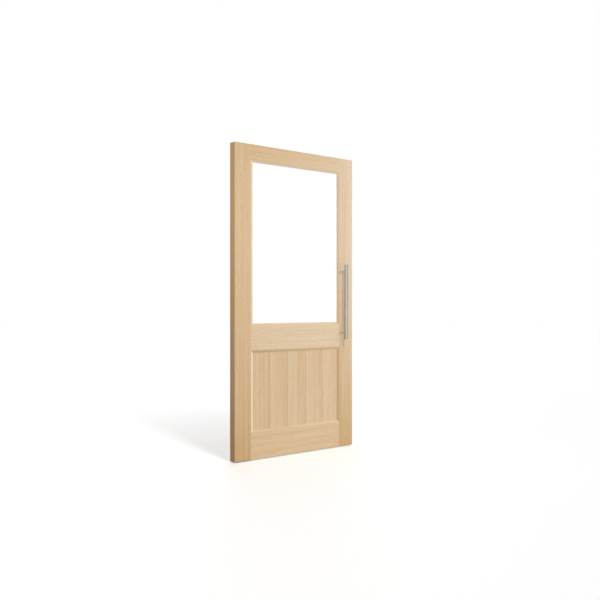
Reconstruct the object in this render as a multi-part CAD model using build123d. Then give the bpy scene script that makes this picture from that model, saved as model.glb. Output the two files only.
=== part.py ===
# Glazed wooden door leaf, half glass over a boarded panel, hung on a concealed centre pivot.
# Stiles and rails are dowelled together. A double-glazed unit and five tongue-and-groove
# boards sit between bevelled, mitred beads on both faces. A straight pull bar stands on each
# face, and the two are bolted together through the lock stile.
# Lengths are in millimetres. X runs along the leaf from the pivot edge to the pull edge,
# Y from the front face to the back, and Z up from the floor. The origin is on the floor,
# midway along the leaf and midway through its thickness.

import os

from build123d import *

# Leaf
leaf_width = 1020.0
leaf_height = 2040.0
leaf_thickness = 54.0
stile_width = 127.0
top_rail_height = 98.0
middle_rail_height = 158.0
bottom_rail_height = 172.0
panel_opening_height = 535.0
arris = 1.5

# Dowels between rails and stiles
dowel_diameter = 14.0
dowel_length = 120.0
dowel_end_gap = 1.0
dowel_inset = 34.0
top_rail_dowels = 2
middle_rail_dowels = 3
bottom_rail_dowels = 3

# Beads
bead_width = 16.0
front_bead_depth = 5.0
bead_drop = 4.0

# Glass unit and boards, from the front bead to the back bead
infill_thickness = 31.0

# Panel boards
board_count = 5
board_edge_gap = 2.0
board_joint_gap = 0.3
board_vee = 1.0
tongue_thickness = 10.0
tongue_length = 8.0
tongue_end_gap = 1.0
tongue_side_gap = 0.2

# Double-glazed unit
pane_thickness = 6.0
tape_thickness = 1.5
tape_width = 12.0
tape_setback = 2.0
glass_edge_gap = 4.0
edge_seal_width = 4.0
spacer_width = 7.5
spacer_wall = 1.0
block_length = 100.0

# Pull bars
tube_diameter = 25.0
tube_wall = 1.5
bar_length = 530.0
bar_height = 1021.0
bar_edge_distance = 95.0
finger_gap = 26.0
post_spacing = 430.0
post_diameter = 14.0
post_spigot_diameter = 8.0
post_spigot_length = 4.0
cap_thickness = 2.0
cap_spigot_length = 8.0
cap_chamfer = 0.5
foot_washer_diameter = 20.0
foot_washer_thickness = 1.5
stud_diameter = 8.0
stud_engagement = 14.0
stud_hole_diameter = 9.0
grub_diameter = 4.0
grub_height = 8.0

# Pivot set
pivot_edge_distance = 70.0
pivot_block_length = 100.0
pivot_block_width = 34.0
pivot_block_depth = 22.0
spindle_diameter = 16.0
spindle_reach = 18.0
spindle_end_gap = 1.0
spindle_chamfer = 1.0
spindle_spigot_diameter = 12.0
bush_wall = 3.0
bush_flange_diameter = 28.0
bush_flange_thickness = 2.0
bush_length = 20.0
block_screw_spacing_x = 72.0
block_screw_spacing_y = 22.0
block_screw_diameter = 5.0
block_screw_head_diameter = 10.0
block_screw_length = 60.0
floor_plate_length = 120.0
floor_plate_width = 50.0
floor_plate_thickness = 4.0
floor_plate_corner = 6.0
floor_hole_diameter = 5.5
floor_hole_head_diameter = 10.0
floor_hole_spacing_x = 96.0
floor_hole_spacing_y = 32.0
thrust_washer_diameter = 30.0
thrust_washer_thickness = 2.0

# Clearances
running_clearance = 0.05
seat_clearance = 0.05
housing_clearance = 0.3
washer_clearance = 0.2

# Sizes that follow from the ones above
leaf_bottom = floor_plate_thickness + thrust_washer_thickness
leaf_top = leaf_bottom + leaf_height
half_width = leaf_width / 2
half_thickness = leaf_thickness / 2
stile_inner = half_width - stile_width
bottom_rail_top = leaf_bottom + bottom_rail_height
middle_rail_bottom = bottom_rail_top + panel_opening_height
middle_rail_top = middle_rail_bottom + middle_rail_height
top_rail_bottom = leaf_top - top_rail_height
infill_front = front_bead_depth - half_thickness
infill_back = infill_front + infill_thickness
infill_middle = (infill_front + infill_back) / 2
unit_front = infill_front + tape_thickness
unit_back = infill_back - tape_thickness
cavity_front = unit_front + pane_thickness
cavity_back = unit_back - pane_thickness
bar_x = half_width - bar_edge_distance
tube_radius = tube_diameter / 2
bar_offset = half_thickness + finger_gap + tube_radius
pivot_x = pivot_edge_distance - half_width
bore_radius = spindle_diameter / 2 + running_clearance

# Each opening is its left, right, bottom and top
panel_opening = (-stile_inner, stile_inner, bottom_rail_top, middle_rail_bottom)
glass_opening = (-stile_inner, stile_inner, middle_rail_top, top_rail_bottom)
sides = {"left": (1, 0), "right": (-1, 0), "bottom": (0, 1), "top": (0, -1)}
faces = {"front": -1, "back": 1}
infill_faces = {"front": infill_front, "back": infill_back}


def block(x_low, x_high, y_low, y_high, z_low, z_high):
    """A box between two limits along each axis."""
    size = (x_high - x_low, y_high - y_low, z_high - z_low)
    middle = ((x_low + x_high) / 2, (y_low + y_high) / 2, (z_low + z_high) / 2)
    return Pos(*middle) * Box(*size)


def rod(radius, start, end):
    """A round bar from one point to another."""
    axis = Vector(*end) - Vector(*start)
    plane = Plane(origin=start, z_dir=axis)
    return extrude(plane * Circle(radius), axis.length)


def sleeve(outer_radius, inner_radius, start, end):
    """A round tube from one point to another."""
    return rod(outer_radius, start, end) - rod(inner_radius, start, end)


def countersunk(shank_radius, head_radius, length):
    """A flat-headed screw or its hole: the head is at the origin and the shank runs up Z."""
    head_depth = head_radius - shank_radius
    outline = Polyline(
        (0, 0),
        (head_radius, 0),
        (shank_radius, head_depth),
        (shank_radius, length),
        (0, length),
        close=True,
    )
    return revolve(Plane.XZ * make_face(outline), Axis.Z)


def inset(opening, distance):
    """The same opening made smaller all round."""
    left, right, bottom, top = opening
    return (left + distance, right - distance, bottom + distance, top - distance)


def mitred_strip(opening, side, width, y_low, y_high):
    """One side of a frame that lines an opening, with its ends cut at 45 degrees."""
    left, right, bottom, top = opening
    in_left, in_right, in_bottom, in_top = inset(opening, width)
    corners = {
        "left": ((left, bottom), (left, top), (in_left, in_top), (in_left, in_bottom)),
        "right": ((right, bottom), (right, top), (in_right, in_top), (in_right, in_bottom)),
        "bottom": ((left, bottom), (right, bottom), (in_right, in_bottom), (in_left, in_bottom)),
        "top": ((left, top), (right, top), (in_right, in_top), (in_left, in_top)),
    }
    plane = Plane(origin=(0, y_high, 0), x_dir=(1, 0, 0), z_dir=(0, -1, 0))
    outline = make_face(plane * Polyline(*corners[side], close=True))
    return extrude(outline, y_high - y_low, dir=(0, -1, 0))


def strip_frame(opening, width, y_low, y_high):
    """The four mitred sides of a frame, as separate solids."""
    return [mitred_strip(opening, side, width, y_low, y_high) for side in sides]


def ordered(first, second):
    return (min(first, second), max(first, second))


def rail_dowel_heights(bottom, top, count):
    """Dowel centres spread evenly between the insets of one rail."""
    step = (top - bottom - 2 * dowel_inset) / (count - 1)
    return [bottom + dowel_inset + index * step for index in range(count)]


def all_dowel_heights():
    heights = rail_dowel_heights(leaf_bottom, bottom_rail_top, bottom_rail_dowels)
    heights += rail_dowel_heights(middle_rail_bottom, middle_rail_top, middle_rail_dowels)
    heights += rail_dowel_heights(top_rail_bottom, leaf_top, top_rail_dowels)
    return heights


def dowels(radius, half_length):
    """Every dowel, or every dowel hole, on both joint lines."""
    rods = []
    for joint in (-stile_inner, stile_inner):
        for height in all_dowel_heights():
            start = (joint - half_length, 0, height)
            end = (joint + half_length, 0, height)
            rods.append(rod(radius, start, end))
    return rods


def leaf_envelope():
    """The outside of the leaf, with its sharp edges eased."""
    body = block(-half_width, half_width, -half_thickness, half_thickness, leaf_bottom, leaf_top)
    return chamfer(body.edges(), arris)


def post_heights():
    middle = leaf_bottom + bar_height
    return [middle - post_spacing / 2, middle + post_spacing / 2]


def pivot_block_shape(clearance):
    """The round-ended block that is let into the end of the hinge stile, mouth downwards."""
    outline = SlotOverall(pivot_block_length + 2 * clearance, pivot_block_width + 2 * clearance)
    return extrude(outline, pivot_block_depth + clearance)


def block_screws(clearance):
    """The four screws of a pivot block, or their holes. They pass either side of the dowels."""
    screw = countersunk(
        block_screw_diameter / 2 + clearance,
        block_screw_head_diameter / 2 + clearance,
        block_screw_length + clearance,
    )
    places = GridLocations(block_screw_spacing_x, block_screw_spacing_y, 2, 2)
    return [place * screw for place in places]


def bush_shape(clearance):
    """The outside of a flanged bush, mouth downwards."""
    outer = bore_radius + bush_wall + clearance
    flange = bush_flange_diameter / 2 + clearance
    body = rod(outer, (0, 0, 0), (0, 0, bush_length + clearance))
    return body + rod(flange, (0, 0, 0), (0, 0, bush_flange_thickness + clearance))


def pivot_parts():
    """Block, bush and screws of one pivot, with the mouth at the origin facing down."""
    housing = pivot_block_shape(0) - bush_shape(seat_clearance)
    for hole in block_screws(seat_clearance):
        housing -= hole
    bore = rod(bore_radius, (0, 0, 0), (0, 0, spindle_reach + spindle_end_gap))
    return housing, bush_shape(0) - bore, block_screws(0)


def pivot_places():
    """Where the pivot at the foot and the pivot at the head of the hinge stile stand."""
    foot = Pos(pivot_x, 0, leaf_bottom)
    head = Pos(pivot_x, 0, leaf_top) * Rot(180, 0, 0)
    return foot, head


def make_stiles():
    envelope = leaf_envelope()
    hinge = block(-half_width, -stile_inner, -half_thickness, half_thickness, leaf_bottom, leaf_top)
    lock = block(stile_inner, half_width, -half_thickness, half_thickness, leaf_bottom, leaf_top)
    hinge = hinge & envelope
    lock = lock & envelope
    half_hole = dowel_length / 2 + dowel_end_gap
    for hole in dowels(dowel_diameter / 2 + seat_clearance, half_hole):
        hinge -= hole
        lock -= hole
    for place in pivot_places():
        hinge -= place * pivot_block_shape(housing_clearance)
        for hole in block_screws(seat_clearance):
            hinge -= place * hole
    for height in post_heights():
        start = (bar_x, -half_thickness, height)
        end = (bar_x, half_thickness, height)
        lock -= rod(stud_hole_diameter / 2, start, end)
    return {"hinge_stile": hinge, "lock_stile": lock}


def make_rails():
    envelope = leaf_envelope()
    half_hole = dowel_length / 2 + dowel_end_gap
    spans = {
        "top_rail": (top_rail_bottom, leaf_top),
        "middle_rail": (middle_rail_bottom, middle_rail_top),
        "bottom_rail": (leaf_bottom, bottom_rail_top),
    }
    rails = {}
    for name, (bottom, top) in spans.items():
        rail = block(-stile_inner, stile_inner, -half_thickness, half_thickness, bottom, top)
        rail = rail & envelope
        for hole in dowels(dowel_diameter / 2 + seat_clearance, half_hole):
            rail -= hole
        rails[name] = rail
    return rails


def make_bead(opening, side, face):
    """A mitred bead, flush with the face at its outer edge and sloping in to the infill."""
    outward = faces[face]
    y_limits = ordered(outward * half_thickness, infill_faces[face])
    strip = mitred_strip(opening, side, bead_width, *y_limits)
    toward_x, toward_z = sides[side]
    left, right, bottom, top = opening
    edge_x = left if toward_x > 0 else right
    edge_z = bottom if toward_z > 0 else top
    slope = Vector(toward_x * bead_drop, outward * bead_width, toward_z * bead_drop)
    plane = Plane(origin=(edge_x, outward * half_thickness, edge_z), z_dir=slope)
    return split(strip, bisect_by=plane, keep=Keep.BOTTOM)


def make_beads():
    beads = {}
    for face in faces:
        for infill, opening in (("glass", glass_opening), ("panel", panel_opening)):
            for side in sides:
                beads[f"{face}_{infill}_bead_{side}"] = make_bead(opening, side, face)
    return beads


def make_boards():
    """Vertical boards with a tongue on the right edge, a groove on the left and eased joints."""
    left, right, bottom, top = inset(panel_opening, board_edge_gap)
    pitch = (right - left) / board_count
    boards = {}
    for index in range(board_count):
        x_low = left + index * pitch
        x_high = x_low + pitch
        if index > 0:
            x_low += board_joint_gap / 2
        if index < board_count - 1:
            x_high -= board_joint_gap / 2
        board = block(x_low, x_high, infill_front, infill_back, bottom, top)
        board = chamfer(board.edges().filter_by(Axis.Z), board_vee)
        if index < board_count - 1:
            half = tongue_thickness / 2
            span = (infill_middle - half, infill_middle + half)
            board += block(x_high, x_high + tongue_length, *span, bottom, top)
        if index > 0:
            half = tongue_thickness / 2 + tongue_side_gap
            depth = tongue_length + tongue_end_gap
            span = (infill_middle - half, infill_middle + half)
            board -= block(x_low, x_low + depth, *span, bottom, top)
        boards[f"panel_board_{index + 1}"] = board
    return boards


def make_glazing():
    """Two panes on a hollow spacer with an edge seal, set on blocks and bedded on tape."""
    unit = inset(glass_opening, glass_edge_gap)
    left, right, bottom, top = unit
    spacer_line = inset(unit, edge_seal_width)
    hollow_line = inset(spacer_line, spacer_wall)
    hollow_width = spacer_width - 2 * spacer_wall
    hollow = (cavity_front + spacer_wall, cavity_back - spacer_wall)
    bars = [
        mitred_strip(spacer_line, side, spacer_width, cavity_front, cavity_back)
        - mitred_strip(hollow_line, side, hollow_width, *hollow)
        for side in sides
    ]
    tape_line = inset(glass_opening, bead_width - tape_setback - tape_width)
    nodes = {
        "front_pane": block(left, right, unit_front, cavity_front, bottom, top),
        "back_pane": block(left, right, cavity_back, unit_back, bottom, top),
        "spacer_frame": bars,
        "edge_seal": strip_frame(unit, edge_seal_width, cavity_front, cavity_back),
        "front_glazing_tape": strip_frame(tape_line, tape_width, infill_front, unit_front),
        "back_glazing_tape": strip_frame(tape_line, tape_width, unit_back, infill_back),
    }
    return nodes


def make_glazing_blocks():
    """Packers that carry the unit at its foot and centre it between the stiles."""
    left, right, bottom, top = glass_opening
    half = block_length / 2
    setting = []
    location = []
    for x_middle in (left / 2, right / 2):
        seat = (bottom, bottom + glass_edge_gap)
        setting.append(block(x_middle - half, x_middle + half, unit_front, unit_back, *seat))
    quarter = (top - bottom) / 4
    for x_low, x_high in ((left, left + glass_edge_gap), (right - glass_edge_gap, right)):
        for z_middle in (bottom + quarter, top - quarter):
            span = (z_middle - half, z_middle + half)
            location.append(block(x_low, x_high, unit_front, unit_back, *span))
    return {"setting_blocks": setting, "location_blocks": location}


def make_pull(face):
    """One pull bar: a tube with end caps on two posts, each post on a foot washer."""
    outward = faces[face]
    face_y = outward * half_thickness
    foot_y = outward * (half_thickness + foot_washer_thickness)
    axis_y = outward * bar_offset
    low = leaf_bottom + bar_height - bar_length / 2
    high = low + bar_length
    tube_low = low + cap_thickness
    tube_high = high - cap_thickness
    tube = sleeve(
        tube_radius, tube_radius - tube_wall, (bar_x, axis_y, tube_low), (bar_x, axis_y, tube_high)
    )
    saddle = rod(tube_radius + seat_clearance, (bar_x, axis_y, low), (bar_x, axis_y, high))
    spigot_y = axis_y - outward * (tube_radius - post_spigot_length)
    bore_y = outward * (half_thickness + foot_washer_thickness + stud_engagement)
    posts = []
    washers = []
    grubs = []
    for height in post_heights():
        foot = (bar_x, foot_y, height)
        post = rod(post_diameter / 2, foot, (bar_x, axis_y, height)) - saddle
        post += rod(post_spigot_diameter / 2, (bar_x, bore_y, height), (bar_x, spigot_y, height))
        post -= rod(stud_diameter / 2 + seat_clearance, foot, (bar_x, bore_y, height))
        grub_y = foot_y + outward * grub_height
        grub_top = (bar_x, grub_y, height - stud_diameter / 2 - seat_clearance)
        grub_foot = (bar_x, grub_y, height - post_diameter / 2)
        post -= rod(grub_diameter / 2 + seat_clearance, grub_foot, (bar_x, grub_y, height))
        grubs.append(rod(grub_diameter / 2, grub_foot, grub_top))
        posts.append(post)
        hole = rod(
            post_spigot_diameter / 2 + seat_clearance, (bar_x, face_y, height), (bar_x, axis_y, height)
        )
        tube -= hole
        washer = sleeve(
            foot_washer_diameter / 2,
            stud_diameter / 2 + washer_clearance,
            (bar_x, face_y, height),
            foot,
        )
        washers.append(washer)
    caps = []
    for end, inward in ((low, 1), (high, -1)):
        seat = end + inward * cap_thickness
        disc = rod(tube_radius, (bar_x, axis_y, end), (bar_x, axis_y, seat))
        disc = chamfer(disc.edges().sort_by(Axis.Z)[0 if inward > 0 else -1], cap_chamfer)
        spigot_radius = tube_radius - tube_wall - seat_clearance
        spigot_end = seat + inward * cap_spigot_length
        caps.append(disc + rod(spigot_radius, (bar_x, axis_y, seat), (bar_x, axis_y, spigot_end)))
    nodes = {
        f"{face}_pull_tube": tube,
        f"{face}_tube_caps": caps,
        f"{face}_posts": posts,
        f"{face}_foot_washers": washers,
        f"{face}_grub_screws": grubs,
    }
    return nodes


def make_studs():
    """The threaded studs that join the front posts to the back posts through the stile."""
    reach = half_thickness + foot_washer_thickness + stud_engagement
    studs = [
        rod(stud_diameter / 2, (bar_x, -reach, height), (bar_x, reach, height))
        for height in post_heights()
    ]
    return {"through_studs": studs}


def make_pivots():
    """The blocks let into the foot and head of the hinge stile, their bushes and screws."""
    housing, bush, screws = pivot_parts()
    foot, head = pivot_places()
    return {
        "pivot_shoe": foot * housing,
        "shoe_bush": foot * bush,
        "shoe_screws": [foot * screw for screw in screws],
        "top_pivot_block": head * housing,
        "top_bush": head * bush,
        "top_block_screws": [head * screw for screw in screws],
    }


def make_floor_pivot():
    """The plate screwed to the floor, with its spindle and the washer that carries the leaf."""
    plate = extrude(
        RectangleRounded(floor_plate_length, floor_plate_width, floor_plate_corner),
        floor_plate_thickness,
    )
    spigot_radius = spindle_spigot_diameter / 2
    plate -= rod(spigot_radius + seat_clearance, (0, 0, 0), (0, 0, floor_plate_thickness))
    hole = Pos(0, 0, floor_plate_thickness) * Rot(180, 0, 0) * countersunk(
        floor_hole_diameter / 2, floor_hole_head_diameter / 2, floor_plate_thickness
    )
    for place in GridLocations(floor_hole_spacing_x, floor_hole_spacing_y, 2, 2):
        plate -= place * hole
    shoulder = (0, 0, floor_plate_thickness)
    spindle_top = leaf_bottom + spindle_reach
    body = rod(spindle_diameter / 2, shoulder, (0, 0, spindle_top))
    body = chamfer(body.edges().sort_by(Axis.Z)[-1], spindle_chamfer)
    spindle = body + rod(spigot_radius, (0, 0, 0), shoulder)
    washer = sleeve(
        thrust_washer_diameter / 2,
        spindle_diameter / 2 + washer_clearance,
        shoulder,
        (0, 0, leaf_bottom),
    )
    place = Pos(pivot_x, 0, 0)
    return {
        "floor_plate": place * plate,
        "spindle": place * spindle,
        "thrust_washer": place * washer,
    }


def make_door():
    nodes = {}
    nodes.update(make_stiles())
    nodes.update(make_rails())
    nodes["rail_dowels"] = dowels(dowel_diameter / 2, dowel_length / 2)
    nodes.update(make_boards())
    nodes.update(make_glazing())
    nodes.update(make_glazing_blocks())
    nodes.update(make_beads())
    for face in faces:
        nodes.update(make_pull(face))
    nodes.update(make_studs())
    nodes.update(make_pivots())
    nodes.update(make_floor_pivot())
    return nodes


def write_node(name, shape):
    """One STEP file for a node, whether it is a single solid or a group."""
    solids = []
    for item in shape if isinstance(shape, list) else [shape]:
        solids.extend(item.solids())
    result = solids[0] if len(solids) == 1 else Compound(children=solids)
    result.label = name
    export_step(result, f"parts/{name}.step")


os.makedirs("parts", exist_ok=True)
for node_name, node_shape in make_door().items():
    write_node(node_name, node_shape)
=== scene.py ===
import bpy
from math import pi, radians, sin, tan
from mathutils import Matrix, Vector


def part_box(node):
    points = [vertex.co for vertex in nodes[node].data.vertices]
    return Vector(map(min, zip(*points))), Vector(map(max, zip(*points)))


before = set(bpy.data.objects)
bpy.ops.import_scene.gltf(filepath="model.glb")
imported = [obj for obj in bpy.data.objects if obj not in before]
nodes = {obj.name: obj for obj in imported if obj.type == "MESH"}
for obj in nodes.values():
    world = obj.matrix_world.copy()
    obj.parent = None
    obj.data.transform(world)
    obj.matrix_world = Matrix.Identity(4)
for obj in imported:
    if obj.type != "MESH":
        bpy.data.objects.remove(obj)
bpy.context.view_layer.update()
scene = bpy.context.scene
mm = 0.001
noiseSpan = (0.3, 0.7)   # nearly all values of a noise lie between these
arrisSamples = 4         # rays that look for an eased edge


# one node with its settings, its values and its links. a socket goes by its name, or by its
# number where nodes share names: 0 to 2 of math and of shaders, 2 and 3 of a mix of numbers,
# 6 and 7 of a mix of colours, whose result is output 2
def addNode(tree, kind, inputs=None, **settings):
    node = tree.nodes.new(kind)
    for name, value in settings.items():
        setattr(node, name, value)
    for name, value in (inputs or {}).items():
        if isinstance(value, bpy.types.NodeSocket):
            tree.links.new(value, node.inputs[name])
        else:
            node.inputs[name].default_value = value
    return node


# sRGB hex colour to the linear values that a shader takes, by the sRGB curve
def linear(hexColour):
    channels = [int(hexColour[i:i + 2], 16) / 255 for i in (1, 3, 5)]
    return [c / 12.92 if c <= 0.04045 else ((c + 0.055) / 1.055) ** 2.4
            for c in channels] + [1.0]


def newMaterial(name):
    material = bpy.data.materials.new(name)
    material.use_nodes = True
    tree = material.node_tree
    tree.nodes.clear()
    return material, tree


# a carried-over node keeps its shape and gets this finish
def dress(nodeName, material):
    slots = nodes[nodeName].material_slots
    for slot in slots:
        slot.material = material
    if not slots:
        nodes[nodeName].data.materials.append(material)


# camera: at eye height, to the left of the leaf and in front of it, looking level
cameraAt = {
    "place": (-3.2788, -4.0752, 1.0099),
    "heading": 39.22,   # degrees to the right of straight at the face
    "lens": 46.18,      # mm
    "sensor": 36.0,     # mm
    "shiftUp": 0.0076,  # of the picture's width
}


def setCamera():
    bpy.ops.object.camera_add(location=cameraAt["place"],
                              rotation=(radians(90), 0, -radians(cameraAt["heading"])))
    camera = bpy.context.object
    camera.name = "photoCamera"
    camera.data.lens = cameraAt["lens"]
    camera.data.sensor_width = cameraAt["sensor"]
    camera.data.shift_y = cameraAt["shiftUp"]
    scene.camera = camera


setCamera()
print("camera ready")


# studio: a white room, suns in an upright row to the front, which are one tall strip of light
# far away, a big lamp far to the right, a warm fill on the left and a lamp behind
studio = {
    "floorSize": 60.0,         # m
    "floorGlow": 0.60,         # white that the camera, metal and glass see in any light
    "floorGrey": "#DEDEDE",    # what the floor gives back of the light on it
    "floorSheen": 0.36,        # share of gloss, for the camera only
    "floorRoughness": 0.6,     # of that gloss
    "roomLevel": 0.18,         # light that the room gives matt surfaces
    "rightWall": 0.36,         # a grey wall on the right, which shows in gloss only
    "wallEdge": (0.7, 0.9),    # where it starts and where it is whole; 1 is straight right
    "aim": (0.0, 0.0, 1.3),    # where lamps and suns point
    "sunAlong": (0.18, 0.98),  # way that the suns' light goes over the floor
    "sunHeights": (39.0, 45.0, 52.0, 61.0, 71.0),   # degrees above the floor
    "sunDistance": 4.0,        # measured over the floor
    "sunSoftness": 8.0,        # degrees
    "sunLevel": 0.075,         # what each sun gives the floor, where 1 lights white to white
}
lamps = {   # places and sizes in metres, power in watts
    "keyLamp": {"place": (7.5, -3.4, 2.0), "wide": 9.0, "high": 3.8, "power": 770.0,
                "colour": "#FFFFFF"},
    "fillLamp": {"place": (-3.2, -1.4, 2.3), "wide": 2.0, "high": 2.0, "power": 49.0,
                 "colour": "#FFEBD6"},
    "backLamp": {"place": (0.9, 4.6, 2.6), "wide": 2.6, "high": 2.6, "power": 160.0,
                 "colour": "#FFFFFF"},
}


# 1 for a ray that looks at the background: from the camera, off gloss or through glass
def lookingRay(tree):
    path = addNode(tree, "ShaderNodeLightPath")
    seen = addNode(tree, "ShaderNodeMath", {0: path.outputs["Is Camera Ray"],
                   1: path.outputs["Is Glossy Ray"]}, operation="ADD")
    return addNode(tree, "ShaderNodeMath", {0: seen.outputs[0],
                   1: path.outputs["Is Transmission Ray"]}, operation="ADD",
                   use_clamp=True).outputs[0]


def makeRoom():
    world = bpy.data.worlds.new("whiteRoom")
    world.use_nodes = True
    tree = world.node_tree
    tree.nodes.clear()
    level = addNode(tree, "ShaderNodeMapRange", {"Value": lookingRay(tree),
                    "To Min": studio["roomLevel"], "To Max": 1.0})
    way = addNode(tree, "ShaderNodeTexCoord")
    parts = addNode(tree, "ShaderNodeSeparateXYZ", {0: way.outputs["Generated"]})
    wall = addNode(tree, "ShaderNodeMapRange", {"Value": parts.outputs["X"],
                   "From Min": studio["wallEdge"][0], "From Max": studio["wallEdge"][1],
                   "To Min": 1.0, "To Max": studio["rightWall"]})
    path = addNode(tree, "ShaderNodeLightPath")
    shown = addNode(tree, "ShaderNodeMix", {0: path.outputs["Is Glossy Ray"], 2: 1.0,
                    3: wall.outputs[0]})
    strength = addNode(tree, "ShaderNodeMath", {0: level.outputs[0], 1: shown.outputs[0]},
                       operation="MULTIPLY")
    back = addNode(tree, "ShaderNodeBackground", {"Color": linear("#FFFFFF"),
                   "Strength": strength.outputs[0]})
    addNode(tree, "ShaderNodeOutputWorld", {"Surface": back.outputs[0]})
    scene.world = world


def makeFloor():
    bpy.ops.object.select_all(action="DESELECT")
    bpy.ops.mesh.primitive_plane_add(size=studio["floorSize"], location=(0, 0, 0))
    floor = bpy.context.object
    floor.name = "paleFloor"
    material, tree = newMaterial("matt white studio floor")
    glow = addNode(tree, "ShaderNodeMath", {0: lookingRay(tree), 1: studio["floorGlow"]},
                   operation="MULTIPLY")
    light = addNode(tree, "ShaderNodeEmission", {"Color": linear("#FFFFFF"),
                    "Strength": glow.outputs[0]})
    matt = addNode(tree, "ShaderNodeBsdfDiffuse", {"Color": linear(studio["floorGrey"])})
    both = addNode(tree, "ShaderNodeAddShader", {0: light.outputs[0], 1: matt.outputs[0]})
    shine = addNode(tree, "ShaderNodeBsdfGlossy", {"Color": linear("#FFFFFF"),
                    "Roughness": studio["floorRoughness"]})
    path = addNode(tree, "ShaderNodeLightPath")
    sheen = addNode(tree, "ShaderNodeMath", {0: path.outputs["Is Camera Ray"],
                    1: studio["floorSheen"]}, operation="MULTIPLY")
    mixed = addNode(tree, "ShaderNodeMixShader", {0: sheen.outputs[0], 1: both.outputs[0],
                    2: shine.outputs[0]})
    addNode(tree, "ShaderNodeOutputMaterial", {"Surface": mixed.outputs[0]})
    floor.data.materials.append(material)
    return floor


def addLamp(name, kind, place):
    turn = (Vector(studio["aim"]) - Vector(place)).to_track_quat("-Z", "Y").to_euler()
    bpy.ops.object.light_add(type=kind, location=place, rotation=turn)
    lamp = bpy.context.object
    lamp.name = name
    return lamp


# a group that the lamps leave to the suns, in what they light or in what they let cast shadows
def leaveToSuns(name, objects):
    group = bpy.data.collections.new(name)
    for thing in objects:
        group.objects.link(thing)
    for item in group.collection_objects:
        item.light_linking.link_state = "EXCLUDE"
    return group


def makeLamps(floor):
    # the floor has one soft shadow, and the pull bars' shadows stay short
    unlit = leaveToSuns("litBySunOnly", [floor])
    unshading = leaveToSuns("shadedBySunOnly",
                            [nodes[name] for name in nodes if "_pull_" in name])
    for name, facts in lamps.items():
        lamp = addLamp(name, "AREA", facts["place"])
        lamp.data.shape = "ELLIPSE"
        lamp.data.size = facts["wide"]
        lamp.data.size_y = facts["high"]
        lamp.data.energy = facts["power"]
        lamp.data.color = linear(facts["colour"])[:3]
        lamp.light_linking.receiver_collection = unlit
        lamp.light_linking.blocker_collection = unshading
        lamp.visible_glossy = False   # metal and glass see the white room, not the lamps
        lamp.visible_transmission = False
    along = Vector(studio["sunAlong"]).normalized()
    for height in studio["sunHeights"]:
        fall = Vector((along.x, along.y, -tan(radians(height)))) * studio["sunDistance"]
        sun = addLamp("frontSun%d" % height, "SUN", Vector(studio["aim"]) - fall)
        sun.data.angle = radians(studio["sunSoftness"])
        sun.data.energy = pi * studio["sunLevel"] / sin(radians(height))


makeRoom()
makeLamps(makeFloor())
scene.view_settings.view_transform = "Standard"
print("room and lamps ready")


# timber: oak, rift cut and straight grained, planed, sanded and finished with clear satin
# lacquer, which gives fine straight streaks, short dark pores and a soft wide sheen
oak = {
    "shades": ("#A37A49", "#BC9A6A", "#CDB38F", "#DDCBB2"),   # deep honey to pale straw
    "contrast": 0.18,          # how far the figure goes to each side, of honey to straw
    "cut": 35.0,               # degrees between the growth rings and the face
    "cutSpread": 4.0,          # degrees that the cut differs from piece to piece
    "pieceShift": (0.37, 0.21, 0.53),   # m in the tree from one piece to the next
    "bandWidth": 14.0,         # mm; broad soft streaks, about five rings each
    "ringWidth": 2.6,          # mm
    "fibreWidth": 0.9,         # mm
    "fibreShare": 0.5,         # fibres show this much beside bands and rings
    "figureSpan": (0.75, 1.75),   # where the sum of the three lies, from dark to pale
    "ringStretch": 8.0,        # rings run round the trunk this much longer than they are wide
    "grainStretch": 60.0,      # and along it by this
    "poreWidth": 0.35,         # mm; open pores of the early wood
    "poreLength": 8.0,         # mm
    "poreSpan": (0.6, 0.7),    # noise where a pore starts, and where it is open
    "poreShade": "#9C7647",
    "poreShare": 0.35,         # how much of that shade an open pore shows
    "ends": -0.16,             # deeper toward a piece's ends, by metres from its middle squared
    "paintedSideShade": -0.36,         # painted shade: faces that look sideways, such as the leaf's edges, are deeper
    "sideShadeTowardFoot": 0.12,         # the painted shade deepens toward the foot, for each metre
    "edgeSpan": (0.75, 0.95),  # sideways share of a normal, from a face's to an edge's
    "arris": 1.2,              # mm; sharp edges eased with fine paper
    "relief": 0.1,             # mm; what the lacquer leaves of fibres and pores
    "reliefStrength": 0.25,
    "roughness": (0.43, 0.53),
    "lacquer": 0.05,
    "lacquerRoughness": 0.3,
}


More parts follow.
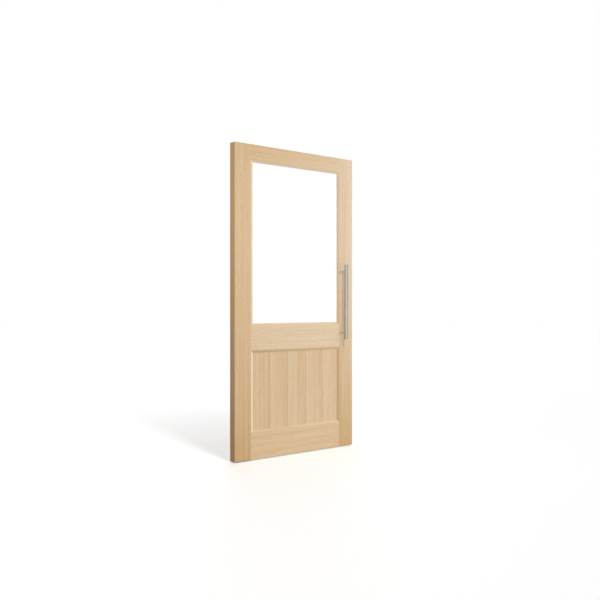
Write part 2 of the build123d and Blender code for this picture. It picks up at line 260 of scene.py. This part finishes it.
# the figure, which is bands, rings and fibres, turned by the cut and drawn out along the
# grain, then its rings and fibres by themselves, and short pores
def oakGrain(tree, spot, along, seed):
    turn = [0.0, 0.0, 0.0]
    turn[along] = radians(oak["cut"] + oak["cutSpread"] * sin(seed))
    shift = [step * seed for step in oak["pieceShift"]]
    stretch = [1.0, oak["ringStretch"], 1.0]
    stretch[along] = oak["grainStretch"]
    place = addNode(tree, "ShaderNodeMapping", {"Vector": spot, "Location": shift,
                    "Rotation": turn, "Scale": stretch}, vector_type="TEXTURE")
    bands = addNode(tree, "ShaderNodeTexNoise", {"Vector": place.outputs[0],
                    "Scale": 1 / (oak["bandWidth"] * mm), "Detail": 1.0})
    rings = addNode(tree, "ShaderNodeTexNoise", {"Vector": place.outputs[0],
                    "Scale": 1 / (oak["ringWidth"] * mm), "Detail": 2.0, "Roughness": 0.6})
    fibres = addNode(tree, "ShaderNodeTexNoise", {"Vector": place.outputs[0],
                     "Scale": 1 / (oak["fibreWidth"] * mm), "Detail": 1.0})
    stretch = [1.0, 1.0, 1.0]
    stretch[along] = oak["poreLength"] / oak["poreWidth"]
    porePlace = addNode(tree, "ShaderNodeMapping", {"Vector": spot, "Location": shift,
                        "Scale": stretch}, vector_type="TEXTURE")
    pores = addNode(tree, "ShaderNodeTexNoise", {"Vector": porePlace.outputs[0],
                    "Scale": 1 / (2 * oak["poreWidth"] * mm), "Detail": 0.0})
    figure = addNode(tree, "ShaderNodeMath", {0: bands.outputs["Fac"],
                     1: rings.outputs["Fac"]}, operation="ADD")
    figure = addNode(tree, "ShaderNodeMath", {0: fibres.outputs["Fac"],
                     1: oak["fibreShare"], 2: figure.outputs[0]}, operation="MULTIPLY_ADD")
    return (figure.outputs[0], rings.outputs["Fac"], fibres.outputs["Fac"],
            pores.outputs["Fac"])


# how pale the piece is at a point: its tone and figure, its drift, which are partly painted
# light, its ends, and painted shade on faces that look sideways
def oakLevel(tree, coords, figure, middle, tone, drift):
    level = addNode(tree, "ShaderNodeMapRange", {"Value": figure,
                    "From Min": oak["figureSpan"][0], "From Max": oak["figureSpan"][1],
                    "To Min": tone - oak["contrast"], "To Max": tone + oak["contrast"]},
                    clamp=False)
    offset = addNode(tree, "ShaderNodeVectorMath", {0: coords.outputs["Object"], 1: middle},
                     operation="SUBTRACT")
    slope = addNode(tree, "ShaderNodeVectorMath", {0: offset.outputs[0], 1: drift},
                    operation="DOT_PRODUCT")
    level = addNode(tree, "ShaderNodeMath", {0: level.outputs[0],
                    1: slope.outputs["Value"]}, operation="ADD")
    reach = addNode(tree, "ShaderNodeVectorMath", {0: offset.outputs[0],
                    1: offset.outputs[0]}, operation="DOT_PRODUCT")
    level = addNode(tree, "ShaderNodeMath", {0: reach.outputs["Value"], 1: oak["ends"],
                    2: level.outputs[0]}, operation="MULTIPLY_ADD")
    # painted shade: faces that look sideways get deeper, and more so toward the foot
    across = addNode(tree, "ShaderNodeVectorMath", {0: coords.outputs["Normal"],
                     1: (1.0, 0.0, 0.0)}, operation="DOT_PRODUCT")
    side = addNode(tree, "ShaderNodeMath", {0: across.outputs["Value"]},
                   operation="ABSOLUTE")
    rise = addNode(tree, "ShaderNodeSeparateXYZ", {0: offset.outputs[0]})
    deep = addNode(tree, "ShaderNodeMath", {0: rise.outputs["Z"], 1: oak["sideShadeTowardFoot"],
                   2: oak["paintedSideShade"]}, operation="MULTIPLY_ADD")
    edge = addNode(tree, "ShaderNodeMapRange", {"Value": side.outputs[0],
                   "From Min": oak["edgeSpan"][0], "From Max": oak["edgeSpan"][1],
                   "To Max": deep.outputs[0]})
    return addNode(tree, "ShaderNodeMath", {0: level.outputs[0], 1: edge.outputs[0]},
                   operation="ADD").outputs[0]


# along: the direction of the grain, 0 for x and 2 for z. tone: how pale the piece is, 0 to 1,
# partly painted light. drift: how much paler it gets for each metre to the right, back and up,
# partly painted fall-off of the lamps' light
def makeOak(name, along, seed, middle, tone, drift):
    material, tree = newMaterial(name)
    coords = addNode(tree, "ShaderNodeTexCoord")
    figure, rings, fibres, pores = oakGrain(tree, coords.outputs["Object"], along, seed)
    ramp = addNode(tree, "ShaderNodeValToRGB",
                   {"Fac": oakLevel(tree, coords, figure, middle, tone, drift)})
    stops = ramp.color_ramp.elements
    while len(stops) < len(oak["shades"]):
        stops.new(0.5)
    for i, shade in enumerate(oak["shades"]):
        stops[i].position = i / (len(oak["shades"]) - 1)
        stops[i].color = linear(shade)
    openPores = addNode(tree, "ShaderNodeMapRange", {"Value": pores,
                        "From Min": oak["poreSpan"][0], "From Max": oak["poreSpan"][1],
                        "To Max": oak["poreShare"]})
    wood = addNode(tree, "ShaderNodeMix", {0: openPores.outputs[0], 6: ramp.outputs[0],
                   7: linear(oak["poreShade"])}, data_type="RGBA")
    relief = addNode(tree, "ShaderNodeMath", {0: fibres, 1: openPores.outputs[0]},
                     operation="SUBTRACT")
    arris = addNode(tree, "ShaderNodeBevel", {"Radius": oak["arris"] * mm},
                    samples=arrisSamples)
    bump = addNode(tree, "ShaderNodeBump", {"Height": relief.outputs[0],
                   "Strength": oak["reliefStrength"], "Distance": oak["relief"] * mm,
                   "Normal": arris.outputs[0]})
    polish = addNode(tree, "ShaderNodeMapRange", {"Value": rings,
                     "From Min": noiseSpan[0], "From Max": noiseSpan[1],
                     "To Min": oak["roughness"][0], "To Max": oak["roughness"][1]})
    shader = addNode(tree, "ShaderNodeBsdfPrincipled", {
        "Base Color": wood.outputs[2], "Roughness": polish.outputs[0],
        "Coat Weight": oak["lacquer"], "Coat Roughness": oak["lacquerRoughness"],
        "Normal": bump.outputs[0]})
    addNode(tree, "ShaderNodeOutputMaterial", {"Surface": shader.outputs[0]})
    return material


# each piece's own tone, then its drift; timber is matched piece by piece, never quite alike.
# the tones are also partly painted light: pieces on the right, toward the big lamp, are paler,
# the left beads, whose slopes face that lamp, palest, and the right ones darker. the drifts are
# partly painted fall-off, paler upward and to the right; each panel board gets darker to its
# right
oakTonesAndPaintedLight = {
    "hinge_stile": (0.66, (0.0, 0.0, 0.12)),
    "lock_stile": (0.78, (0.5, 0.0, 0.24)),
    "top_rail": (0.69, (0.18, 0.0, -0.6)),
    "middle_rail": (0.85, (0.12, 0.0, 0.15)),
    "bottom_rail": (0.68, (0.0, 0.0, 0.3)),
    "panel_board_1": (0.66, (-0.9, 0.0, 0.0)),
    "panel_board_2": (0.68, (-0.8, 0.0, 0.0)),
    "panel_board_3": (0.70, (-0.8, 0.0, 0.0)),
    "panel_board_4": (0.71, (-0.8, 0.0, 0.0)),
    "panel_board_5": (0.73, (-0.3, 0.0, 0.0)),
    # painted light and shade on the beads: the left ones, facing the big lamp, pale, the right
    # ones darker, and the right panel bead darkest, a painted shadow line
    "front_glass_bead_left": (1.0, (0.0, 0.0, 0.1)),
    "front_glass_bead_right": (0.78, (0.0, 0.0, 0.1)),
    "front_glass_bead_top": (0.82, (0.1, 0.0, 0.0)),
    "front_glass_bead_bottom": (0.75, (0.1, 0.0, 0.0)),
    "front_panel_bead_left": (0.95, (0.0, 0.0, 0.1)),
    "front_panel_bead_right": (0.5, (0.0, 0.0, 0.0)),
    "front_panel_bead_top": (0.6, (0.1, 0.0, 0.0)),
    "front_panel_bead_bottom": (0.7, (0.0, 0.0, 0.0)),
}
usualTone = (0.66, (0.0, 0.0, 0.1))   # beads on the back


def finishTimber():
    seed = 0
    for name in sorted(nodes):
        upright = "stile" in name or "board" in name or name.endswith(("left", "right"))
        if not (upright or name.endswith(("_rail", "_top", "_bottom"))):
            continue
        low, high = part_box(name)
        tone, drift = oakTonesAndPaintedLight.get(name, usualTone)
        dress(name, makeOak("clear lacquered oak " + name, 2 if upright else 0, seed,
                            (low + high) / 2, tone, drift))
        seed += 1


finishTimber()
print("timber ready")


# glass: the front pane is white laminated glass with an acid-etched satin face, milky and
# soft. the back one is clear float glass, nearly flat, with sharp reflections
panes = {
    "front_pane": {"name": "white laminated satin glass", "roughness": (0.425, 0.575),
                   "through": 0.08},
    "back_pane": {"name": "clear float glass", "roughness": (0.0, 0.0), "through": 1.0},
}
glass = {
    "ior": 1.52,
    "waveLength": 300.0,   # mm
    "waveDepth": 0.05,     # mm
    "waveStrength": 0.3,
    "frost": 0.8,          # mm; etched spots, drawn coarse enough to show
    "tint": "#F4F7F5",     # what a clear pane leaves of lamplight
}


def makeGlass(facts):
    material, tree = newMaterial(facts["name"])
    coords = addNode(tree, "ShaderNodeTexCoord")
    waves = addNode(tree, "ShaderNodeTexNoise", {"Vector": coords.outputs["Object"],
                    "Scale": 1 / (glass["waveLength"] * mm), "Detail": 1.0})
    etch = addNode(tree, "ShaderNodeTexNoise", {"Vector": coords.outputs["Object"],
                   "Scale": 1 / (glass["frost"] * mm), "Detail": 2.0})
    polish = addNode(tree, "ShaderNodeMapRange", {"Value": etch.outputs["Fac"],
                     "To Min": facts["roughness"][0], "To Max": facts["roughness"][1]})
    bump = addNode(tree, "ShaderNodeBump", {"Height": waves.outputs["Fac"],
                   "Strength": glass["waveStrength"], "Distance": glass["waveDepth"] * mm})
    shader = addNode(tree, "ShaderNodeBsdfPrincipled", {
        "Base Color": linear("#FFFFFF"), "Roughness": polish.outputs[0],
        "IOR": glass["ior"], "Transmission Weight": facts["through"],
        "Normal": bump.outputs[0]})
    if facts["through"] == 1:   # lamplight gets through a clear pane to what is behind it
        path = addNode(tree, "ShaderNodeLightPath")
        gap = addNode(tree, "ShaderNodeBsdfTransparent", {"Color": linear(glass["tint"])})
        shader = addNode(tree, "ShaderNodeMixShader", {0: path.outputs["Is Shadow Ray"],
                         1: shader.outputs[0], 2: gap.outputs[0]})
    addNode(tree, "ShaderNodeOutputMaterial", {"Surface": shader.outputs[0]})
    return material


for name, facts in panes.items():
    dress(name, makeGlass(facts))
print("glass ready")


# metal, plastic and sealant pieces. marks are the real size of the grinding lines, crystals or
# cells in mm, stretch is how much longer they are on each axis, and relief is their depth in mm
finishes = {
    # stainless tube, ground round its girth with fine belts, which draws out a long highlight
    "satin ground stainless steel": {
        "nodes": ("pull_tube",), "shade": "#BBB9B5", "deep": "#AEACA8", "metallic": 1.0,
        "roughness": (0.38, 0.46), "marks": 0.3, "stretch": (30, 30, 1), "relief": 0.002,
        "anisotropic": 0.9},
    # turned stainless, which leaves fine lines and a crisp shine
    "turned stainless steel": {
        "nodes": ("tube_caps", "grub_screws"), "shade": "#C8C6C2", "deep": "#B6B4B0",
        "metallic": 1.0, "roughness": (0.25, 0.34), "marks": 0.3, "stretch": (12, 1, 12),
        "relief": 0.004},
    # stainless, blasted with glass beads, which leaves a pale matt face of fine pits
    "bead-blasted stainless steel": {
        "nodes": ("posts",), "shade": "#DCDAD7", "deep": "#CFCDCA", "metallic": 1.0,
        "roughness": (0.5, 0.6), "marks": 0.15, "stretch": (1, 1, 1), "relief": 0.01},
    # zinc plate with a pale passivated film: cloudy, a little blue, in patches of a few mm
    "zinc-plated steel": {
        "nodes": ("through_studs", "pivot_shoe", "shoe_screws", "top_pivot_block",
                  "top_block_screws", "floor_plate", "spindle"),
        "shade": "#C4C7C9", "deep": "#A3A8AB", "metallic": 1.0, "roughness": (0.32, 0.5),
        "marks": 5.0, "stretch": (1, 1, 1), "relief": 0.01},
    # sintered bronze, oil-filled, with small pores
    "sintered bearing bronze": {
        "nodes": ("shoe_bush", "top_bush"), "shade": "#B98F5A", "deep": "#8A6536",
        "metallic": 1.0, "roughness": (0.35, 0.5), "marks": 0.3, "stretch": (1, 1, 1),
        "relief": 0.02},
    # rolled aluminium bar, mill finish, with draw lines along it
    "mill finish aluminium": {
        "nodes": ("spacer_frame",), "shade": "#D2D4D6", "deep": "#BCBFC2", "metallic": 1.0,
        "roughness": (0.3, 0.42), "marks": 0.5, "stretch": (20, 1, 20), "relief": 0.005},
    # natural nylon, punched from sheet: milky and waxy
    "natural nylon": {
        "nodes": ("foot_washers", "thrust_washer"), "shade": "#E6E1D5", "deep": "#D9D2C2",
        "metallic": 0.0, "roughness": (0.38, 0.5), "marks": 1.5, "stretch": (1, 1, 1),
        "relief": 0.01},
    # closed-cell foam tape: matt white with cells of half a millimetre
    "white glazing foam": {
        "nodes": ("front_glazing_tape", "back_glazing_tape"), "shade": "#ECEAE5",
        "deep": "#D8D5CE", "metallic": 0.0, "roughness": (0.8, 0.92), "marks": 0.5,
        "stretch": (1, 1, 1), "relief": 0.08},
    # pale silicone, tooled flat by hand, which leaves low waves
    "tooled silicone sealant": {
        "nodes": ("edge_seal",), "shade": "#C6C5C1", "deep": "#B3B2AE", "metallic": 0.0,
        "roughness": (0.45, 0.6), "marks": 8.0, "stretch": (3, 1, 3), "relief": 0.2},
    # moulded polypropylene packers with a fine spark texture
    "moulded glazing block": {
        "nodes": ("setting_blocks", "location_blocks"), "shade": "#8D9399", "deep": "#7C8288",
        "metallic": 0.0, "roughness": (0.5, 0.62), "marks": 0.6, "stretch": (1, 1, 1),
        "relief": 0.03},
    # beech dowels, machined with the grain along them and small darker flecks
    "beech dowel": {
        "nodes": ("rail_dowels",), "shade": "#D9B58C", "deep": "#BE9164", "metallic": 0.0,
        "roughness": (0.55, 0.7), "marks": 0.8, "stretch": (12, 1, 1), "relief": 0.05},
}
wear = {
    "clouds": 25.0,            # mm; patches left by handling and by the batch
    "tintSpan": (0.7, 1.3),    # where the sum of marks and clouds goes from deep to shade
    "arris": 0.3,              # mm; broken edge
    "edgeSpan": (0.75, 0.97),  # cosine of a normal's turn at the arris, rubbed to untouched
    "rub": 0.5,                # how far a rubbed arris goes back to the bare shade
    "reliefStrength": 0.5,
    "grindTurn": 0.25,         # of a full turn, which lays the long highlight along the tube
}


def makeFinish(name, facts):
    material, tree = newMaterial(name)
    coords = addNode(tree, "ShaderNodeTexCoord")
    place = addNode(tree, "ShaderNodeMapping", {"Vector": coords.outputs["Object"],
                    "Scale": facts["stretch"]}, vector_type="TEXTURE")
    marks = addNode(tree, "ShaderNodeTexNoise", {"Vector": place.outputs[0],
                    "Scale": 1 / (2 * facts["marks"] * mm), "Detail": 3.0})
    clouds = addNode(tree, "ShaderNodeTexNoise", {"Vector": coords.outputs["Object"],
                     "Scale": 1 / (wear["clouds"] * mm), "Detail": 2.0})
    both = addNode(tree, "ShaderNodeMath", {0: marks.outputs["Fac"],
                   1: clouds.outputs["Fac"]}, operation="ADD")
    share = addNode(tree, "ShaderNodeMapRange", {"Value": both.outputs[0],
                    "From Min": wear["tintSpan"][0], "From Max": wear["tintSpan"][1]})
    tint = addNode(tree, "ShaderNodeMix", {0: share.outputs[0], 6: linear(facts["deep"]),
                   7: linear(facts["shade"])}, data_type="RGBA")
    rough = addNode(tree, "ShaderNodeMapRange", {"Value": marks.outputs["Fac"],
                    "From Min": noiseSpan[0], "From Max": noiseSpan[1],
                    "To Min": facts["roughness"][0], "To Max": facts["roughness"][1]})
    arris = addNode(tree, "ShaderNodeBevel", {"Radius": wear["arris"] * mm},
                    samples=arrisSamples)
    geometry = addNode(tree, "ShaderNodeNewGeometry")
    turn = addNode(tree, "ShaderNodeVectorMath", {0: arris.outputs[0],
                   1: geometry.outputs["Normal"]}, operation="DOT_PRODUCT")
    rub = addNode(tree, "ShaderNodeMapRange", {"Value": turn.outputs["Value"],
                  "From Min": wear["edgeSpan"][0], "From Max": wear["edgeSpan"][1],
                  "To Min": wear["rub"], "To Max": 0.0})
    worn = addNode(tree, "ShaderNodeMix", {0: rub.outputs[0], 6: tint.outputs[2],
                   7: linear(facts["shade"])}, data_type="RGBA")
    bump = addNode(tree, "ShaderNodeBump", {"Height": marks.outputs["Fac"],
                   "Strength": wear["reliefStrength"], "Distance": facts["relief"] * mm,
                   "Normal": arris.outputs[0]})
    shader = addNode(tree, "ShaderNodeBsdfPrincipled", {
        "Base Color": worn.outputs[2], "Metallic": facts["metallic"],
        "Roughness": rough.outputs[0], "Normal": bump.outputs[0],
        "Anisotropic": facts.get("anisotropic", 0.0),
        "Anisotropic Rotation": wear["grindTurn"]})
    addNode(tree, "ShaderNodeOutputMaterial", {"Surface": shader.outputs[0]})
    return material


for name, facts in finishes.items():
    material = makeFinish(name, facts)
    for nodeName in nodes:
        if nodeName.endswith(facts["nodes"]):
            dress(nodeName, material)
print("finishes ready")
